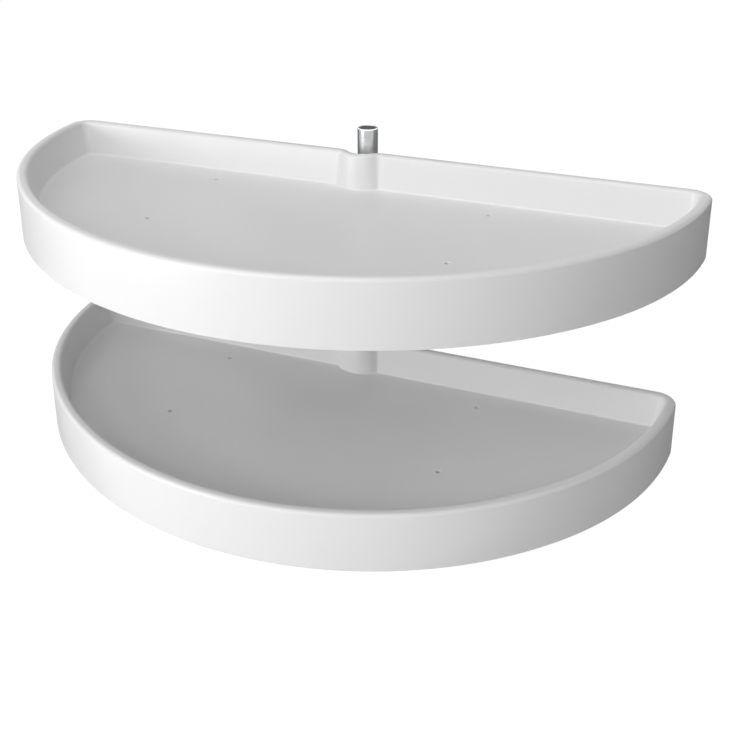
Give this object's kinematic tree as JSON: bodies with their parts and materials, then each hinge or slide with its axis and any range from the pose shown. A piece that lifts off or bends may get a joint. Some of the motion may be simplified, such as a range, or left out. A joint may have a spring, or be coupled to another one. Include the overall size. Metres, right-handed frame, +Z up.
{
  "type": "corner carousel",
  "caption": "Half-moon corner cabinet carousel: stacked white moulded trays with rolled rims that turn on one upright chromed post.",
  "frame": {"origin": "centre of the base flange's underside, on the post's axis, where the post stands on the cabinet floor", "axes": "+Z is up along the post; the trays' flat wall faces +Y and their round front faces -Y; +X is to the right seen from the front"},
  "size_m": [0.824, 0.4588, 0.419],
  "materials": {
    "white_plastic": "smooth satin moulding",
    "chrome": "bright chrome plate",
    "zinc_steel": "bright zinc plate",
    "spring_steel": "dark oiled steel",
    "nylon": "natural nylon",
    "black_plastic": "fine matt moulding"
  },
  "bodies": {
    "post_assembly": {"post": "chrome", "post_cap": "black_plastic", "base_flange": "zinc_steel", "base_set_screws": "spring_steel", "upper_retaining_ring": "spring_steel", "upper_thrust_washer": "nylon", "upper_clamp_collar": "zinc_steel", "upper_collar_screw": "spring_steel", "lower_retaining_ring": "spring_steel", "lower_thrust_washer": "nylon", "lower_clamp_collar": "zinc_steel", "lower_collar_screw": "spring_steel"},
    "upper_carousel": {"upper_tray": "white_plastic", "upper_carrier_plate": "zinc_steel", "upper_hub_sleeve": "zinc_steel", "upper_hub_top_bush": "nylon", "upper_hub_bottom_bush": "nylon", "upper_tray_screws": "zinc_steel"},
    "lower_carousel": {"lower_tray": "white_plastic", "lower_carrier_plate": "zinc_steel", "lower_hub_sleeve": "zinc_steel", "lower_hub_top_bush": "nylon", "lower_hub_bottom_bush": "nylon", "lower_tray_screws": "zinc_steel"}
  },
  "joints": [
    {"name": "upper_tray_spin", "type": "hinge", "parent": "post_assembly", "child": "upper_carousel", "pos_m": [0, 0, 0.3575], "axis": [0, 0, 1], "continuous": true},
    {"name": "lower_tray_spin", "type": "hinge", "parent": "post_assembly", "child": "lower_carousel", "pos_m": [0, 0, 0.105], "axis": [0, 0, 1], "continuous": true}
  ]
}
